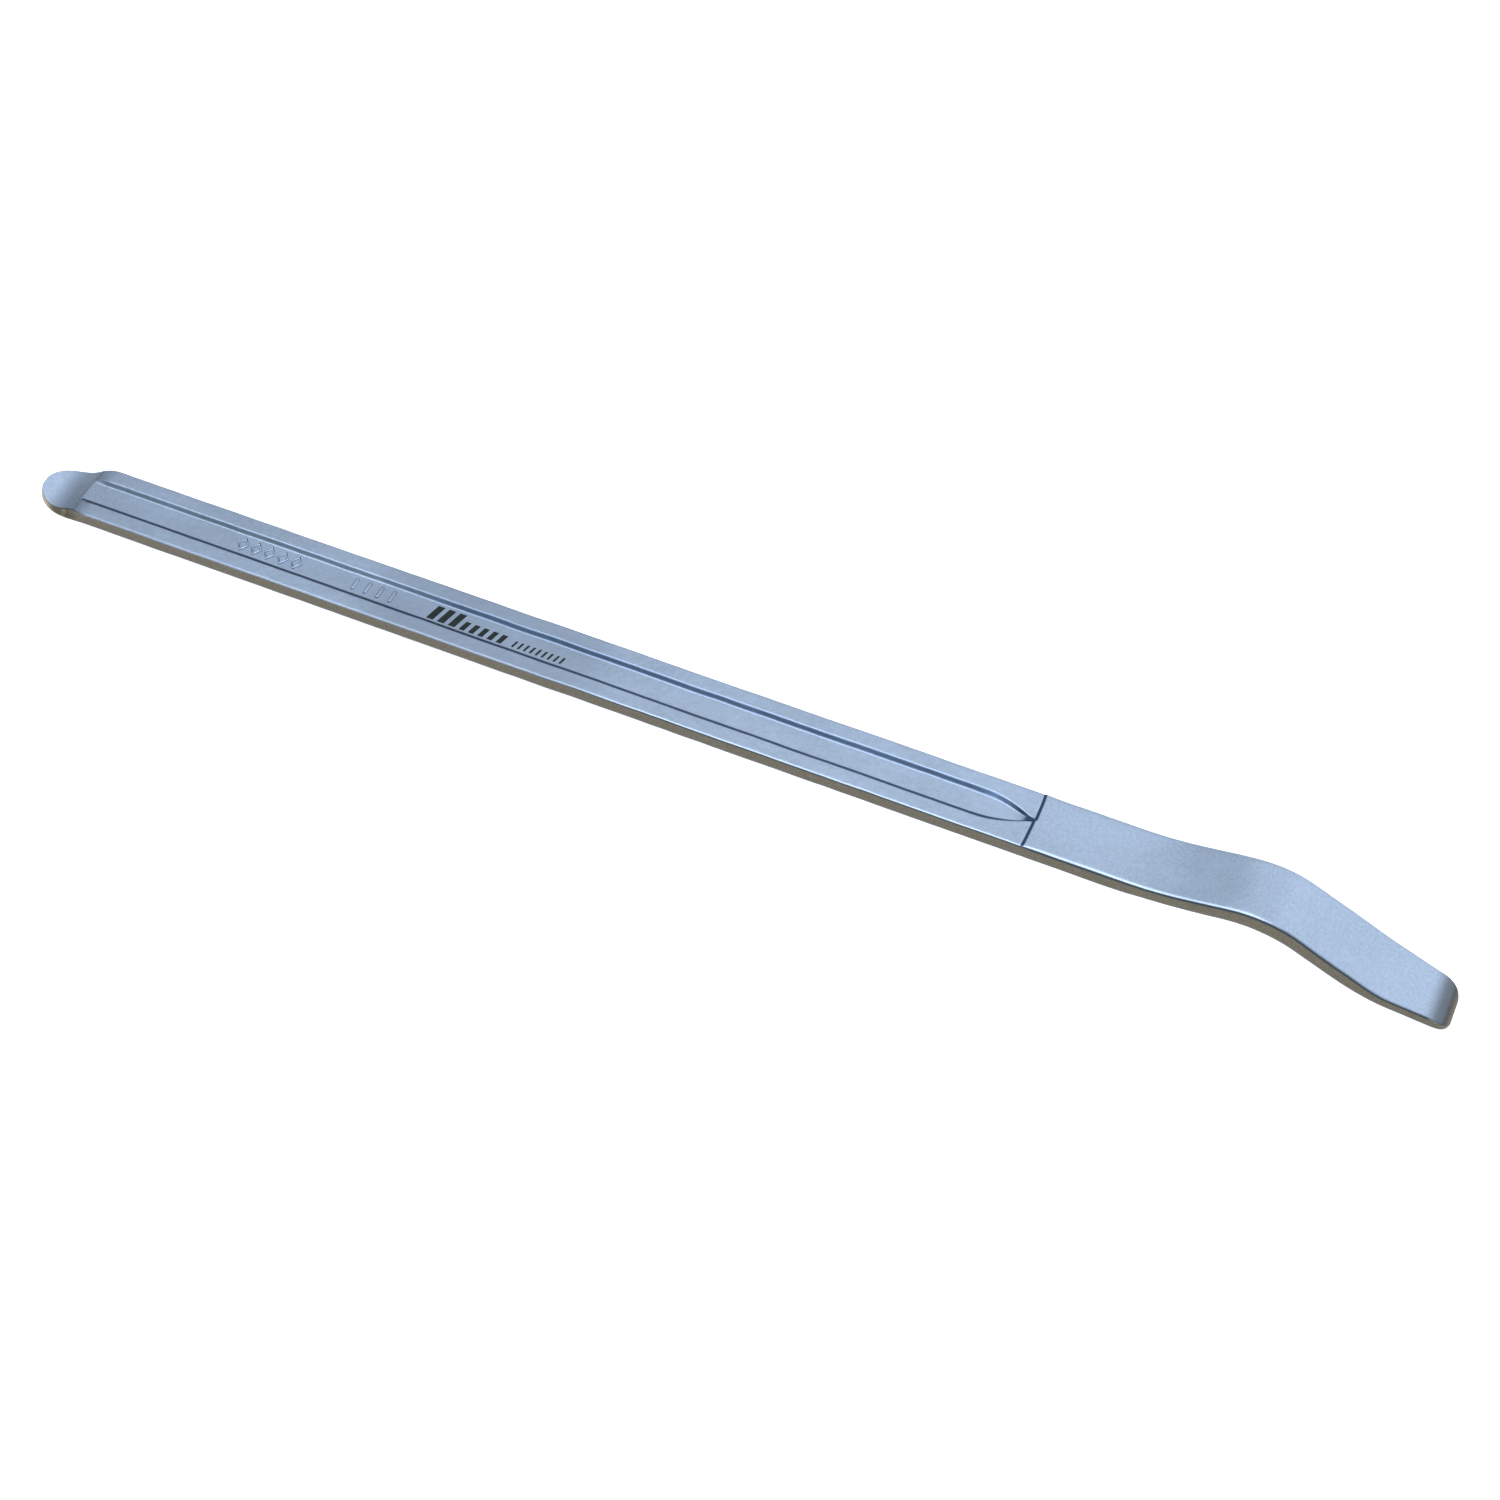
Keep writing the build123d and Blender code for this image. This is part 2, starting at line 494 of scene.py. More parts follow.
class Blank:
    """The straight bar's points, found by the place they had before any shaping."""

    def __init__(self):
        mesh = bmesh.from_edit_mesh(bpy.context.edit_object.data)
        self.places = [tuple(c / MM for c in point.co) for point in mesh.verts]
        self.rings = {}
        for x in [0.0] + stations() + [LENGTH]:
            self.rings[x] = [i for i, place in enumerate(self.places) if near(place[0], x)]

    def find(self, x, wanted):
        """Points of one ring for which wanted(|y|, z) holds."""
        return [i for i in self.rings[x] if wanted(abs(self.places[i][1]), self.places[i][2])]


def press_heights(blank):
    """Thickness and height of every ring."""
    for x, ring in blank.rings.items():
        top, under = top_at(x), under_at(x)
        scale(ring, z=(top - under) / THICKNESS)
        move(ring, z=top)


def sunk_share(x, start, length):
    """Share of its depth that a channel has: it sinks in at start and runs out at the arch."""
    return min(share(x, start, length), 1 - share(x, ARCH_POINT - ARCH_RUN_OUT, ARCH_RUN_OUT))


def press_channels(blank, depth):
    """The channels in the top and in the underside."""
    for x in blank.rings:
        sink = 0.0
        if TOP_CHANNEL_OPEN < x < STEP_FOOT - NEAR:
            sink = min(0.0, -depth * sunk_share(x, *TOP_CHANNEL) - top_at(x))
        lift = depth * sunk_share(x, *UNDER_CHANNEL)
        for level, travel in ((0.0, sink), (-THICKNESS, lift)):
            floor = blank.find(x, lambda y, z: y < FLOOR_RAIL + NEAR and near(z, level))
            wall = blank.find(x, lambda y, z: near(y, WALL_RAIL) and near(z, level))
            move(floor, z=travel)
            move(wall, z=travel / 2)


def pull_in_spoon(blank):
    """The spoon's round nose, with sides and lip that lean inwards."""
    for x in [x for x in blank.rings if x < SPOON_END]:
        lean = LIP_LEAN * max(0.0, 1 - x / LIP_LEAN_LENGTH)
        under = nose_half(x, False) / HALF_WIDTH
        top = nose_half(x + lean * LIP_LEAN_SHARE, True) / HALF_WIDTH
        for level in [-THICKNESS] + LEVELS[::-1] + [0.0]:
            rise = 1 + level / THICKNESS
            narrow = under + (top - under) * rise
            outside = blank.find(x, lambda y, z: y > LAST_INNER_RAIL + NEAR and near(z, level))
            inside = blank.find(x, lambda y, z: y < LAST_INNER_RAIL + NEAR and near(z, level))
            scale(outside, y=narrow)
            scale(inside, y=min(1.0, narrow / NOSE_HOLD))
            move(outside + inside, x=lean * rise)


def close_channels(blank):
    """The pointed arch of both channels, and the rails' return to their places behind it."""
    for x in [x for x in blank.rings if ARCH_START - NEAR < x < SWING_BACK[1]]:
        back = ease(x, *SWING_BACK)
        least_mouth = ARCH_MOUTH_GAP + (1 - ARCH_MOUTH_GAP) * back
        least_floor = ARCH_FLOOR_GAP + (1 - ARCH_FLOOR_GAP) * back
        mouth = max(arch_share(x, ARCH_POINT), least_mouth)
        floor = max(arch_share(x, ARCH_FLOOR_POINT) * ARCH_FLOOR_SHARE, least_floor)
        wall = (mouth * MOUTH_RAIL + floor * ARCH_FLOOR_EDGE) / 2
        flat = blank.find(x, lambda y, z: near(z, 0.0) or near(z, -THICKNESS))
        aside = {i: abs(blank.places[i][1]) for i in flat}
        rims = [i for i in flat if MOUTH_RAIL - NEAR < aside[i] < LAST_INNER_RAIL + NEAR]
        scale(rims, y=mouth)
        scale([i for i in flat if near(aside[i], WALL_RAIL)], y=wall / WALL_RAIL)
        scale([i for i in flat if aside[i] < FLOOR_RAIL + NEAR], y=floor)


def narrow_tip(blank):
    """The blade's taper and the round corners of its tip."""
    for x, ring in blank.rings.items():
        if x > TAPER_START:
            scale(ring, y=tip_half(min(x, LENGTH - TIP_BLUNT)) / HALF_WIDTH)


def soften_blade(blank):
    """The blade's upper edges are rounder than the shank's."""
    for x in [x for x in blank.rings if STEP_HEAD + NEAR < x < ROUND_EDGE_END]:
        far = share(x, STEP_HEAD, ROUND_EDGE_RUN)
        edge = blank.find(x, lambda y, z: near(y, EDGE_RAIL) and near(z, 0.0))
        scale(edge, y=1 - ROUND_EDGE_IN * far)
        move(blank.find(x, lambda y, z: near(z, LEVELS[0])), z=-ROUND_EDGE_DOWN * far)


def bow_step(blank):
    """The step is struck bowed and a little ragged, further ahead on its far half."""
    lead, lead_y, breadth = STEP_LEAD
    ragged, frequency, phase = STEP_RAGGED
    for x in STEP_RINGS:
        top = blank.find(x, lambda y, z: near(z, 0.0))
        for y in [0.0] + [side * rail for rail in RAILS for side in (1, -1)]:
            row = [i for i in top if near(blank.places[i][1], y)]
            shift = STEP_BOW * (1 - (y / HALF_WIDTH) ** 2)
            shift += lead * math.exp(-(((y - lead_y) / breadth) ** 2))
            move(row, x=shift + ragged * math.sin(frequency * y + phase))


def add_subdivision(obj, levels):
    """Applies a Subdivision Surface."""
    smooth = obj.modifiers.new("Subdivision", "SUBSURF")
    smooth.levels = levels
    smooth.render_levels = levels
    bpy.ops.object.modifier_apply(modifier=smooth.name)


def add_waviness(obj, amount):
    """Lets the edges wander a little, as worn dies leave them."""
    for name, axis, size, part in WANDERS:
        texture = bpy.data.textures.new(f"forged_{name}", "CLOUDS")
        texture.noise_scale = size
        texture.noise_depth = 1
        wander = obj.modifiers.new(name, "DISPLACE")
        wander.texture = texture
        wander.texture_coords = "LOCAL"
        wander.direction = axis
        wander.mid_level = 0.5
        wander.strength = amount * part
        bpy.ops.object.modifier_apply(modifier=wander.name)


def lay_down(obj):
    """Turns and shifts a finished piece to where it rests, and keeps its place in its mesh."""
    select_only(obj)
    obj.rotation_euler = rest_turn()
    obj.location = rest_shift()
    bpy.ops.object.transform_apply(location=True, rotation=True, scale=True)


class LEVER_OT_forge_body(bpy.types.Operator):
    """Forge the whole bar: spoon, channelled shank and cranked blade"""

    bl_idname = "lever.forge_body"
    bl_label = "Forge Lever"
    bl_options = {"REGISTER", "UNDO"}

    def execute(self, context):
        sizes = context.scene.lever_sizes
        bpy.ops.object.select_all(action="DESELECT")
        bar = straight_bar(sizes)
        blank = Blank()
        press_heights(blank)
        press_channels(blank, sizes.channel_depth / MM)
        pull_in_spoon(blank)
        close_channels(blank)
        soften_blade(blank)
        narrow_tip(blank)
        bow_step(blank)
        bpy.ops.object.mode_set(mode="OBJECT")
        add_subdivision(bar, 2)
        add_waviness(bar, sizes.waviness)
        bpy.ops.object.shade_smooth()
        lay_down(bar)
        bar.data.materials.append(satin_chrome())
        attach(bar, "root")
        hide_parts("forged_lever")
        return {"FINISHED"}


# ---- marks ----------------------------------------------------------------------------


def channel_floor():
    """Height of the channel's floor in metres."""
    return -bpy.context.scene.lever_sizes.channel_depth


def spaced(first, pitch, count):
    """Evenly spaced stations along the bar."""
    return [first + pitch * i for i in range(count)]


def lozenge(x, marks):
    """An open raised lozenge on the channel's floor, its line half sunk into it."""
    bpy.ops.mesh.primitive_torus_add(
        location=(x * MM, 0, channel_floor()),
        major_segments=4,
        minor_segments=14,
        major_radius=LOZENGE_RADIUS * MM,
        minor_radius=marks.line / 2,
    )
    shape = bpy.context.object
    shape.scale = (1, LOZENGE_STRETCH, 2 * marks.height / marks.line)
    bpy.ops.object.transform_apply(location=True, rotation=True, scale=True)
    return shape


def raised_bar(x, marks):
    """A raised bar with round ends on the channel's floor."""
    width, length = (side * MM for side in BAR_SIZE)
    depth = marks.height + BAR_SUNK * MM
    place = (x * MM, 0, channel_floor() - BAR_SUNK * MM + depth / 2)
    bpy.ops.mesh.primitive_cylinder_add(vertices=20, radius=width / 2, depth=depth, location=place)
    shape = bpy.context.object
    bpy.ops.object.transform_apply(location=True, rotation=True, scale=True)
    bpy.ops.object.mode_set(mode="EDIT")
    for side in (1, -1):
        mesh = bmesh.from_edit_mesh(shape.data)
        pick([point.index for point in mesh.verts if point.co.y * side > TINY])
        bpy.ops.transform.translate(value=(0, side * (length - width) / 2, 0))
    bpy.ops.object.mode_set(mode="OBJECT")
    return shape


def join(shapes):
    """Joins objects into the first of them."""
    select_only(shapes[0])
    for shape in shapes:
        shape.select_set(True)
    bpy.ops.object.join()
    return bpy.context.object


class LEVER_OT_raise_marks(bpy.types.Operator):
    """Raise the row of lozenges and the row of bars on the channel's floor"""

    bl_idname = "lever.raise_marks"
    bl_label = "Raise Marks"
    bl_options = {"REGISTER", "UNDO"}

    def execute(self, context):
        marks = context.scene.lever_marks
        bpy.ops.object.select_all(action="DESELECT")
        bars = join([raised_bar(x, marks) for x in spaced(*BARS)])
        soft = bars.modifiers.new("Bevel", "BEVEL")
        soft.width = marks.height * 0.8
        soft.segments = 4
        soft.limit_method = "ANGLE"
        bpy.ops.object.modifier_apply(modifier=soft.name)
        raised = join([lozenge(x, marks) for x in spaced(*LOZENGES)] + [bars])
        raised.name = "raised_marks"
        bpy.ops.object.shade_smooth_by_angle(angle=math.radians(60))
        lay_down(raised)
        raised.data.materials.append(satin_chrome())
        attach(raised, "root")
        return {"FINISHED"}


class LEVER_OT_ink_stripes(bpy.types.Operator):
    """Give the printed stripes their ink"""

    bl_idname = "lever.ink_stripes"
    bl_label = "Ink Stripes"
    bl_options = {"REGISTER", "UNDO"}

    def execute(self, context):
        stripes = frame["nodes"]["printed_mark"]
        stripes.data.materials.clear()
        stripes.data.materials.append(pad_print_ink())
        return {"FINISHED"}


# ---- finishes -------------------------------------------------------------------------


class Wiring:
    """A node tree and the short calls that wire its nodes."""

    def __init__(self, owner):
        owner.use_nodes = True
        self.nodes = owner.node_tree.nodes
        self.links = owner.node_tree.links

    def put(self, value, socket):
        """A number, a colour or another node's output, put into a socket."""
        if isinstance(value, bpy.types.NodeSocket):
            self.links.new(value, socket)
        else:
            socket.default_value = value

    def ramp(self, value, low, high, to_low=0.0, to_high=1.0):
        """Maps a value from one range to another, with soft ends."""
        node = self.nodes.new("ShaderNodeMapRange")
        node.interpolation_type = "SMOOTHSTEP"
        for socket, number in zip(list(node.inputs)[1:5], (low, high, to_low, to_high)):
            socket.default_value = number
        self.put(value, node.inputs["Value"])
        return node.outputs["Result"]

    def rise(self, value, low, high, full=1.0):
        """A mask that comes up from nothing as the value goes from low to high."""
        return self.ramp(value, low, high, 0.0, full)

    def fall(self, value, low, high, full=1.0):
        """A mask that dies away as the value goes from low to high."""
        return self.ramp(value, low, high, full, 0.0)

    def math(self, operation, first, second=0.0):
        """One sum."""
        node = self.nodes.new("ShaderNodeMath")
        node.operation = operation
        self.put(first, node.inputs[0])
        self.put(second, node.inputs[1])
        return node.outputs[0]

    def product(self, first, *others):
        """Several masks or lights multiplied together."""
        for other in others:
            first = self.math("MULTIPLY", first, other)
        return first


class Finish(Wiring):
    """A material, wired from noises, masks and mixes of colours."""

    def __init__(self, name):
        self.material = bpy.data.materials.new(name)
        super().__init__(self.material)
        self.surface = self.nodes["Principled BSDF"]
        self.place = self.nodes.new("ShaderNodeTexCoord")

    def noise(self, size, detail=2.0, roughness=0.5, stretch=(1, 1, 1)):
        """Cloudy noise with features of about this size in metres."""
        mapping = self.nodes.new("ShaderNodeMapping")
        mapping.inputs["Scale"].default_value = stretch
        self.links.new(self.place.outputs["Object"], mapping.inputs["Vector"])
        node = self.nodes.new("ShaderNodeTexNoise")
        node.inputs["Scale"].default_value = 1 / size
        node.inputs["Detail"].default_value = detail
        node.inputs["Roughness"].default_value = roughness
        self.links.new(mapping.outputs["Vector"], node.inputs["Vector"])
        return node.outputs["Fac"]

    def mix(self, factor, first, second):
        """A mix of two colours."""
        node = self.nodes.new("ShaderNodeMix")
        node.data_type = "RGBA"
        self.put(factor, node.inputs[0])
        self.put(first, node.inputs[6])
        self.put(second, node.inputs[7])
        return node.outputs[2]

    def mottle(self, pattern, low, high, color, dark, bright):
        """A colour that a noise makes darker or lighter by these factors."""
        return self.mix(self.ramp(pattern, low, high), opaque(color, dark), opaque(color, bright))

    def split(self, output):
        """The three parts of a vector."""
        node = self.nodes.new("ShaderNodeSeparateXYZ")
        self.links.new(self.place.outputs[output], node.inputs[0])
        return node.outputs

    def bump(self, height, distance, strength, normal=None):
        """Fine relief."""
        node = self.nodes.new("ShaderNodeBump")
        node.inputs["Distance"].default_value = distance
        self.put(strength, node.inputs["Strength"])
        self.put(height, node.inputs["Height"])
        if normal is not None:
            self.links.new(normal, node.inputs["Normal"])
        return node.outputs["Normal"]


class Plating(Finish):
    """A finish that knows where on the bar a point lies, in millimetres, and its direction."""

    def __init__(self, name):
        super().__init__(name)
        place, facing = self.split("Object"), self.split("Normal")
        from_lip = self.math("ADD", place["X"], LENGTH / 2 * MM)
        self.along = self.math("DIVIDE", from_lip, MM)
        self.across = self.math("DIVIDE", place["Y"], MM)
        self.aside = self.math("ABSOLUTE", self.across)
        self.faces_x, self.faces_y, self.faces_z = facing["X"], facing["Y"], facing["Z"]
        self.level = self.math("ABSOLUTE", self.faces_z)
        self.clouds = self.noise(0.018, 3.0, 0.55, (0.5, 1, 1))
        self.speckle = self.noise(0.0011, 3.0, 0.6)
        self.grain = self.noise(0.00035, 2.0, 0.6)
        self.scale_pits = self.noise(0.0030, 2.0, 0.5)

    def forged(self):
        """The shank, whose surface is the coarsest."""
        return self.product(self.rise(self.along, 25, 33), self.fall(self.along, 468, 471))

    def channel(self):
        """The channel in the shank."""
        length = self.product(self.rise(self.along, 23, 27), self.fall(self.along, 472, 474))
        return self.product(length, self.fall(self.aside, 9.5, 10.2))

    def tip(self):
        """The last millimetres of the blade."""
        return self.rise(self.along, 637.5, 639.5)


def opaque(color, factor=1.0):
    """A colour with alpha, made lighter or darker by a factor."""
    return tuple(min(c * factor, 1.0) for c in color) + (1.0,)


# Painted shade and painted reflections: what the sides of the channel, the step, the tip and the
# upper edges reflect
FAR_WALL_SHADE = (0.36, 0.48, 0.66)
FAR_WALL_DEEP_SHADE = (0.17, 0.26, 0.43)
FAR_WALL_ARCH_SHADE = (0.34, 0.50, 0.80)
NEAR_WALL_SHADE = (0.010, 0.032, 0.09)
NEAR_WALL_PALE_SHADE = (0.035, 0.065, 0.14)
STEP_SHADE = (0.06, 0.10, 0.20)
TIP_ROLL_REFLECTION = (0.118, 0.130, 0.143)
EDGE_DARK_REFLECTION = (0.04, 0.055, 0.065)


def plated_faces(steel, face):
    """The blasted plating: cloudy, coarse on the shank, and darker over a stretch of it."""
    shade = steel.mottle(steel.clouds, 0.3, 0.7, face, 0.93, 1.06)
    fine = steel.mottle(steel.speckle, 0.25, 0.75, face, 0.82, 1.18)
    worn = steel.mottle(steel.scale_pits, 0.3, 0.7, face, 0.86, 1.12)
    grained = steel.mix(steel.math("MULTIPLY", steel.forged(), 0.4), fine, worn)
    faces = steel.mix(0.55, shade, grained)
    dimmer_stretch = steel.product(
        steel.rise(steel.along, 150, 185, 0.5),
        steel.fall(steel.along, 265, 285),
    )
    return steel.mix(dimmer_stretch, faces, opaque(face, 0.66))


def far_wall_shade(steel, faces):
    """Painted shade on the channel's far wall, darker along the middle of the bar. The marks stay
    clear of it.
    """
    wall = steel.product(steel.channel(), steel.fall(steel.faces_y, -0.42, -0.20))
    marks = steel.product(steel.fall(steel.along, 183, 187), steel.fall(steel.aside, 4.2, 4.8))
    color = steel.mix(steel.rise(steel.along, 155, 215), opaque(FAR_WALL_SHADE), opaque(FAR_WALL_DEEP_SHADE))
    color = steel.mix(steel.rise(steel.along, 443, 461), color, opaque(FAR_WALL_ARCH_SHADE))
    return steel.mix(steel.math("SUBTRACT", wall, marks), faces, color)


def near_wall_shade(steel, faces):
    """Painted shade on the channel's near wall, and a painted shade line at its foot that dies
    away along the bar.
    """
    wall = steel.product(steel.channel(), steel.rise(steel.faces_y, 0.10, 0.28))
    foot_shade = steel.product(
        steel.fall(steel.across, -5.4, -4.8),
        steel.rise(steel.along, 23, 24.5, 0.9),
        steel.rise(steel.across, -7.0, -6.6),
        steel.fall(steel.along, 135, 265),
    )
    pale = steel.rise(steel.along, 165, 265)
    color = steel.mix(pale, opaque(NEAR_WALL_SHADE), opaque(NEAR_WALL_PALE_SHADE))
    return steel.mix(steel.math("MAXIMUM", wall, foot_shade), faces, color)


def step_shade(steel, faces):
    """Painted shade: the dark line of the step, and a dark knot that ties the channel's painted
    lines to it.
    """
    riser_shade = steel.product(
        steel.rise(steel.along, 465.5, 466.5),
        steel.fall(steel.along, 473.5, 474.5),
        steel.fall(steel.faces_x, -0.28, -0.12),
        steel.rise(steel.faces_y, -0.45, -0.2),
    )
    knot_shade = steel.product(
        steel.rise(steel.along, 464.0, 466.2),
        steel.fall(steel.aside, 0.6, 1.8),
        steel.fall(steel.along, 469.2, 470.2),
    )
    faces = steel.mix(riser_shade, faces, opaque(STEP_SHADE))
    return steel.mix(knot_shade, faces, opaque(STEP_SHADE))


def spoon_shading(steel, faces, face):
    """Painted shade and light on the spoon: a darker slope up to the rims, and a lighter hollow
    before it.
    """
    slope = steel.product(
        steel.fall(steel.along, 23.5, 26),
        steel.fall(steel.faces_x, -0.38, -0.22, 0.6),
    )
    faces = steel.mix(slope, faces, opaque(face, 0.45))
    hollow = steel.product(
        steel.rise(steel.along, 8.5, 12.5),
        steel.fall(steel.along, 12.5, 23.0),
    )
    return steel.mix(hollow, faces, opaque(face, 1.28))


def tip_shading(steel, faces, face):
    """The tip: painted shade that darkens it towards its end, and a painted grey reflection where
    it rolls over.
    """
    faces = steel.mix(steel.rise(steel.along, 638.0, 642.5, 0.5), faces, opaque(face, 0.55))
    roll = steel.product(steel.tip(), steel.rise(steel.faces_x, 0.22, 0.62))
    return steel.mix(roll, faces, opaque(TIP_ROLL_REFLECTION))


def painted_flank_reflection(steel, faces, flank_reflection):
    """Painted reflection in olive-brown on the sides, the far rims and the tip's end, with painted
    shade and a painted highlight on the nose.
    """
    rolled = steel.product(steel.tip(), steel.rise(steel.faces_x, 0.55, 0.8))
    leaning = steel.fall(steel.along, 23, 31, 0.46)
    sideways = steel.fall(steel.math("SUBTRACT", steel.level, leaning), 0.2, 0.45)
    sideways = steel.product(sideways, steel.math("SUBTRACT", 1.0, steel.channel()))
    far_rim = steel.math("SUBTRACT", steel.rise(steel.faces_y, 0.45, 0.75, 0.7), steel.channel())
    sideways = steel.math("MAXIMUM", sideways, rolled)
    sideways = steel.math("MAXIMUM", sideways, far_rim)

    color = steel.mottle(steel.speckle, 0.3, 0.7, flank_reflection, 0.85, 1.15)
    color = steel.mix(rolled, color, opaque(flank_reflection, 0.68))
    nose = steel.fall(steel.along, 22, 30)
    waist_shade = steel.product(
        nose,
        steel.rise(steel.faces_x, -0.50, -0.40),
        steel.fall(steel.faces_x, -0.16, -0.06),
    )
    upward_light = steel.product(
        nose,
        steel.rise(steel.faces_z, 0.18, 0.45),
        steel.fall(steel.along, 17.0, 20.0),
    )
    # Painted shade at the nose's waist, and a painted highlight where the nose faces upward
    color = steel.mix(waist_shade, color, opaque(flank_reflection, 0.7))
    color = steel.mix(upward_light, color, opaque(flank_reflection, 3.0))
    return steel.mix(sideways, faces, color)


def edge_reflection_line(steel, faces):
    """Painted reflection: the dark line under the shank's and the blade's upper long edges."""
    line = steel.product(
        steel.rise(steel.faces_z, 0.1, 0.28),
        steel.fall(steel.level, 0.55, 0.72),
        steel.rise(steel.along, 225, 305),
        steel.fall(steel.along, 640.5, 643.5),
    )
    return steel.mix(line, faces, opaque(EDGE_DARK_REFLECTION))


def blasted_relief(steel):
    """Pits of the forging scale on the shank, and the blasting's speckle and grain."""
    pits = steel.bump(steel.scale_pits, 0.00012, steel.math("MULTIPLY", steel.forged(), 0.6))
    relief = steel.bump(steel.speckle, 0.00003, steel.rise(steel.along, 25, 33, 0.5), pits)
    return steel.bump(steel.grain, 0.00001, steel.rise(steel.along, 25, 33, 0.6), relief)


def satin_chrome():
    """Satin chrome plate: blasted, bluish, coarser on the forged shank than on the blade, with
    painted shade and painted reflections on its walls, step, spoon, tip, flanks and edges.
    """
    if "blasted_chrome_plate" in bpy.data.materials:
        return bpy.data.materials["blasted_chrome_plate"]
    look = bpy.context.scene.lever_look
    steel = Plating("blasted_chrome_plate")
    faces = plated_faces(steel, look.face)
    faces = far_wall_shade(steel, faces)
    faces = near_wall_shade(steel, faces)
    faces = step_shade(steel, faces)
    faces = spoon_shading(steel, faces, look.face)
    faces = tip_shading(steel, faces, look.face)
    faces = painted_flank_reflection(steel, faces, look.flank_reflection)
    faces = edge_reflection_line(steel, faces)
    smooth, matt = look.roughness - 0.03, look.roughness + 0.04
    steel.put(faces, steel.surface.inputs["Base Color"])
    steel.put(steel.ramp(steel.clouds, 0.3, 0.7, smooth, matt), steel.surface.inputs["Roughness"])
    steel.put(blasted_relief(steel), steel.surface.inputs["Normal"])
    steel.surface.inputs["Metallic"].default_value = 1.0
    return steel.material


def pad_print_ink():
    """Thin, slightly uneven black ink."""
    look = bpy.context.scene.lever_look
    ink = Finish("pad_print_ink")
    cover = ink.noise(0.0012, 3.0, 0.6)
    ink.put(ink.mottle(cover, 0.35, 0.75, look.ink, 1.0, 2.4), ink.surface.inputs["Base Color"])
    ink.put(ink.ramp(cover, 0.3, 0.7, 0.42, 0.58), ink.surface.inputs["Roughness"])
    ink.put(ink.bump(cover, 0.00002, 0.4), ink.surface.inputs["Normal"])
    ink.surface.inputs["Specular IOR Level"].default_value = 0.25
    return ink.material


# ---- stage ----------------------------------------------------------------------------

FLOOR_SIZE = 400
FLOOR_DROP = 0.0002
FLOOR_COLOR = (0.93, 0.93, 0.93, 1)
FLOOR_GLOW = 0.75

# Brightness of the room from the horizon to the zenith
SKY_STEPS = [(0.02, 0.5), (0.3, 0.62), (0.6, 0.66), (0.82, 0.70), (0.94, 1.0)]
SKY_COLOR = (0.96, 0.985, 1.0, 1)

# Parts of the room's light: a direction, how closely one must look that way for the part to
# start and to be full, as cosines, and its brightness before and after
FROM_BEHIND = ((0, 1, 0), -0.6, 0.45, 0.4, 1.0)
FROM_RIGHT = ((1, 0, 0), -0.85, -0.1, 0.5, 1.0)
WINDOW = ((0.60, 0.60, 0.62), 0.87, 0.985, 0.0, 0.22)
ZENITH = ((-0.25, -0.1, 1.0), 0.82, 0.95, 0.0, 0.32)

SOFTBOX_PLACE = (-0.3, -0.2, 1.9)
SOFTBOX_SIZE = 2.0
SOFTBOX_COLOR = (0.96, 0.98, 1.0)
SENSOR_WIDTH = 36
NEAREST_SEEN = 0.01


def pale_floor():
    """A plain pale light table: its own glow keeps the shadows faint."""
    bpy.ops.mesh.primitive_plane_add(size=FLOOR_SIZE, location=(0, 0, -FLOOR_DROP))
    floor = bpy.context.object
    floor.name = "floor"
    finish = Finish("pale_floor")
    finish.surface.inputs["Base Color"].default_value = FLOOR_COLOR
    finish.surface.inputs["Roughness"].default_value = 0.9
    finish.surface.inputs["Specular IOR Level"].default_value = 0.0
    finish.surface.inputs["Emission Color"].default_value = (1, 1, 1, 1)
    finish.surface.inputs["Emission Strength"].default_value = FLOOR_GLOW
    floor.data.materials.append(finish.material)


def sky_brightness(room, direction):
    """The room's brightness by height, in steps."""
    height = room.nodes.new("ShaderNodeSeparateXYZ")
    room.links.new(direction, height.inputs[0])
    steps = room.nodes.new("ShaderNodeValToRGB")
    room.links.new(height.outputs["Z"], steps.inputs["Fac"])
    for place, level in SKY_STEPS:
        step = steps.color_ramp.elements.new(place)
        step.color = (level, level, level, 1)
    steps.color_ramp.elements.remove(steps.color_ramp.elements[0])
    return steps.outputs["Color"]


def light_towards(room, direction, aim, low, high, dim, bright):
    """Light that grows from dim to bright towards a direction."""
    angle = room.nodes.new("ShaderNodeVectorMath")
    angle.operation = "DOT_PRODUCT"
    angle.inputs[1].default_value = Vector(aim).normalized()
    room.links.new(direction, angle.inputs[0])
    return room.ramp(angle.outputs["Value"], low, high, dim, bright)


def room_light(strength):
    """Soft light from all round, dim low down and behind the camera, bright up high."""
    world = bpy.data.worlds.new("room")
    bpy.context.scene.world = world
    room = Wiring(world)
    direction = room.nodes.new("ShaderNodeTexCoord").outputs["Generated"]
    light = room.product(
        sky_brightness(room, direction),
        light_towards(room, direction, *FROM_BEHIND),
        light_towards(room, direction, *FROM_RIGHT),
    )
    for part in (WINDOW, ZENITH):
        light = room.math("ADD", light, light_towards(room, direction, *part))
    # What the camera sees past the floor's end is as plain and pale as the floor
    backdrop = room.nodes.new("ShaderNodeLightPath").outputs["Is Camera Ray"]
    light = room.math("MAXIMUM", light, backdrop)
    background = room.nodes["Background"]
    background.inputs["Color"].default_value = SKY_COLOR
    room.links.new(room.math("MULTIPLY", light, strength), background.inputs["Strength"])


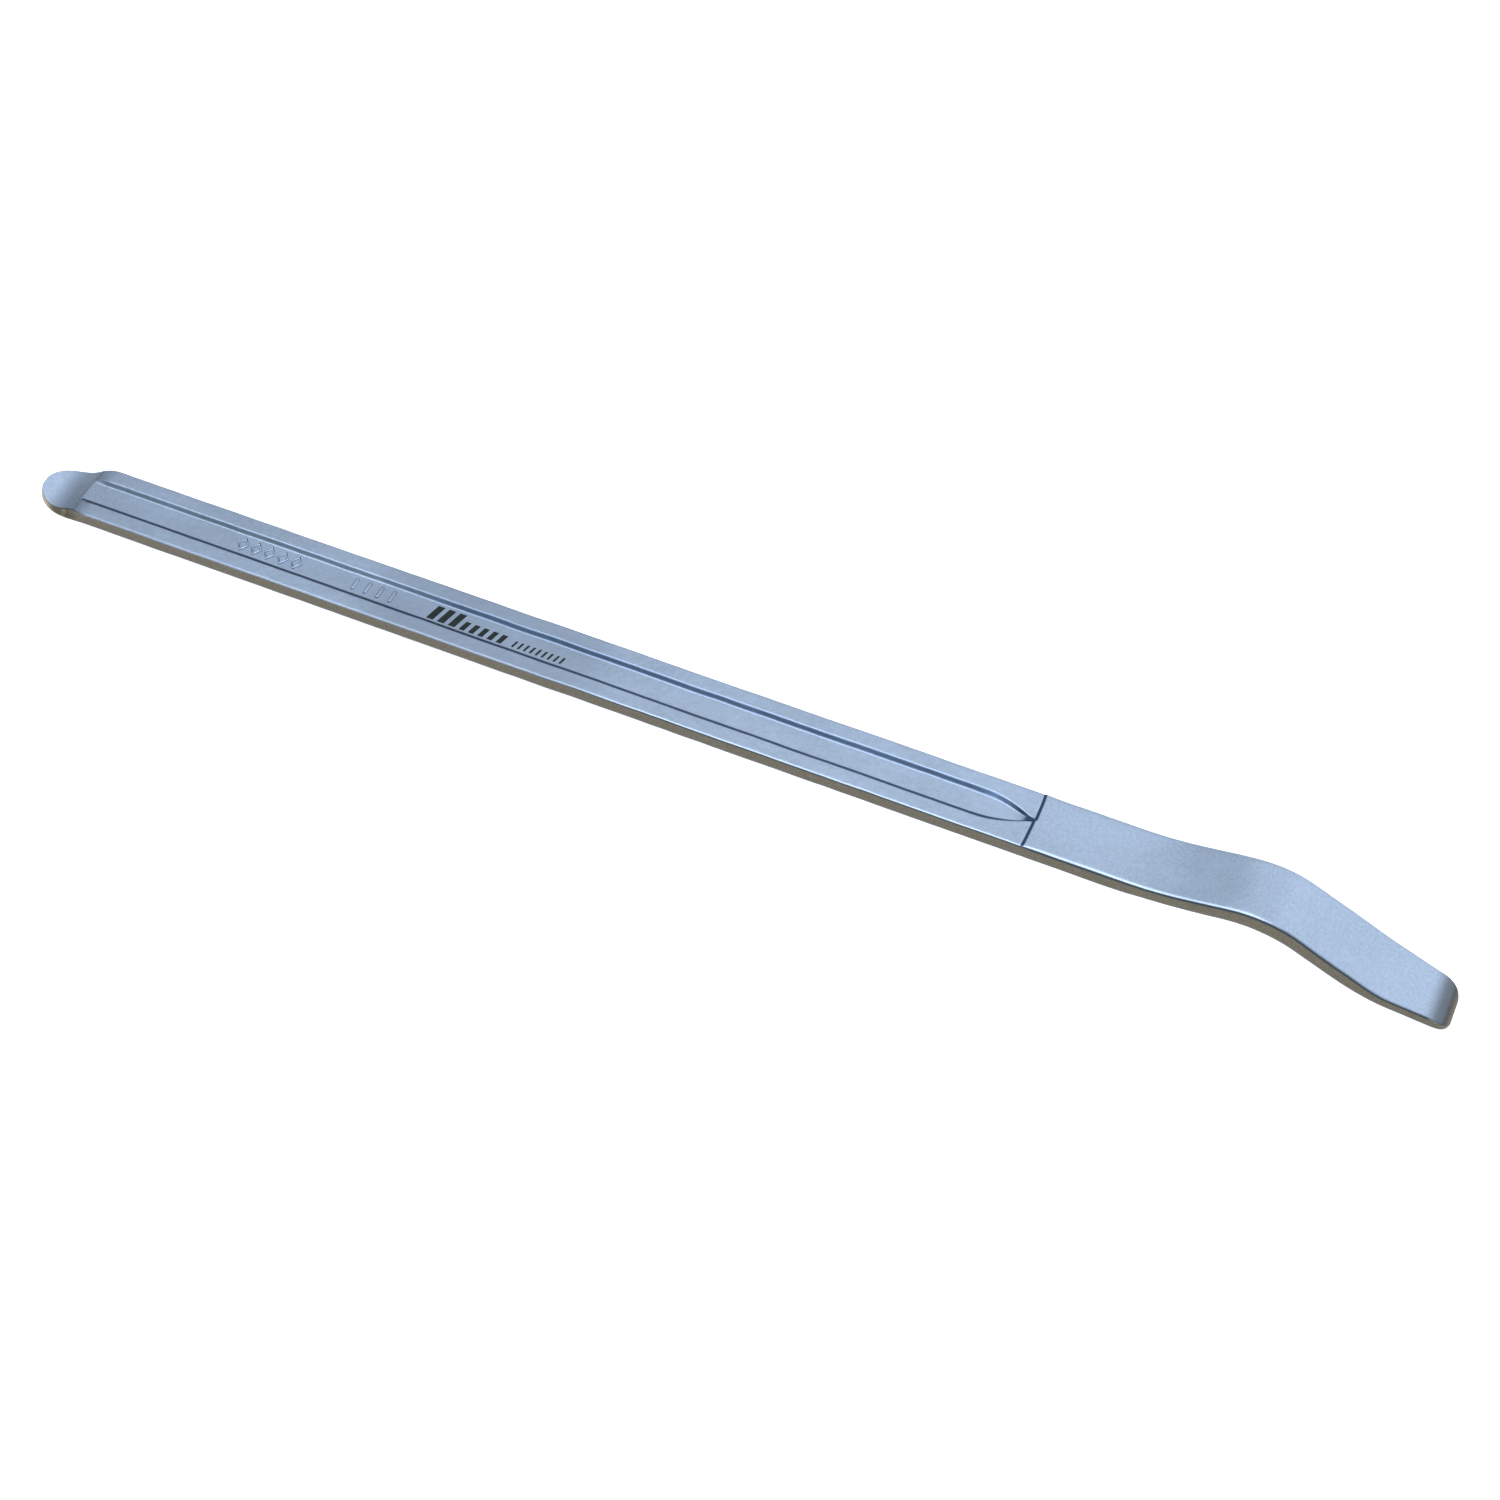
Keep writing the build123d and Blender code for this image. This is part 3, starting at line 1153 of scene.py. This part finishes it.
def softbox(power):
    """A large overhead softbox."""
    bpy.ops.object.light_add(type="AREA", location=SOFTBOX_PLACE)
    lamp = bpy.context.object
    lamp.name = "softbox"
    lamp.data.shape = "DISK"
    lamp.data.size = SOFTBOX_SIZE
    lamp.data.energy = power
    lamp.data.color = SOFTBOX_COLOR
    aim = Vector((0, 0, 0)) - lamp.location
    lamp.rotation_euler = aim.to_track_quat("-Z", "Y").to_euler()


def camera(studio):
    """The camera."""
    level = Matrix.Rotation(studio.azimuth, 3, "Z")
    tilted = level @ Matrix.Rotation(math.pi / 2 - studio.elevation, 3, "X")
    turn = tilted @ Matrix.Rotation(studio.roll, 3, "Z")
    bpy.ops.object.camera_add()
    eye = bpy.context.object
    eye.rotation_euler = turn.to_euler()
    eye.location = Vector(studio.target) + turn @ Vector((0, 0, studio.distance))
    eye.data.sensor_width = SENSOR_WIDTH
    eye.data.lens = studio.lens
    eye.data.clip_start = NEAREST_SEEN
    bpy.context.scene.camera = eye


class LEVER_OT_set_stage(bpy.types.Operator):
    """Set the floor, the lights and the camera"""

    bl_idname = "lever.set_stage"
    bl_label = "Set Stage"
    bl_options = {"REGISTER", "UNDO"}

    def execute(self, context):
        studio = context.scene.lever_studio
        bpy.ops.object.select_all(action="DESELECT")
        pale_floor()
        room_light(studio.sky)
        softbox(studio.softbox)
        camera(studio)
        context.scene.view_settings.view_transform = "Standard"
        return {"FINISHED"}


class LEVER_PT_panel(bpy.types.Panel):
    """Tyre lever's panel"""

    bl_label = "Tyre Lever"
    bl_idname = "LEVER_PT_panel"
    bl_space_type = "VIEW_3D"
    bl_region_type = "UI"
    bl_category = "Tyre Lever"

    def draw(self, context):
        layout, scene = self.layout, context.scene
        for name in GROUPS:
            group = getattr(scene, name)
            box = layout.box()
            box.label(text=group.bl_rna.description)
            for key in group.__annotations__:
                box.prop(group, key)
        for operator in OPERATORS:
            layout.operator(operator.bl_idname)


GROUPS = {
    "lever_sizes": LeverSizes,
    "lever_look": PlatingLook,
    "lever_marks": MarkSizes,
    "lever_studio": StudioSetup,
}
OPERATORS = (
    LEVER_OT_forge_body,
    LEVER_OT_raise_marks,
    LEVER_OT_ink_stripes,
    LEVER_OT_set_stage,
)


def register():
    for name, group in GROUPS.items():
        bpy.utils.register_class(group)
        setattr(bpy.types.Scene, name, bpy.props.PointerProperty(type=group))
    for operator in OPERATORS:
        bpy.utils.register_class(operator)
    bpy.utils.register_class(LEVER_PT_panel)


def unregister():
    bpy.utils.unregister_class(LEVER_PT_panel)
    for operator in reversed(OPERATORS):
        bpy.utils.unregister_class(operator)
    for name, group in reversed(list(GROUPS.items())):
        delattr(bpy.types.Scene, name)
        bpy.utils.unregister_class(group)


def main():
    register()
    bpy.ops.lever.forge_body()
    bpy.ops.lever.raise_marks()
    bpy.ops.lever.ink_stripes()
    bpy.ops.lever.set_stage()


if __name__ == "__main__":
    main()
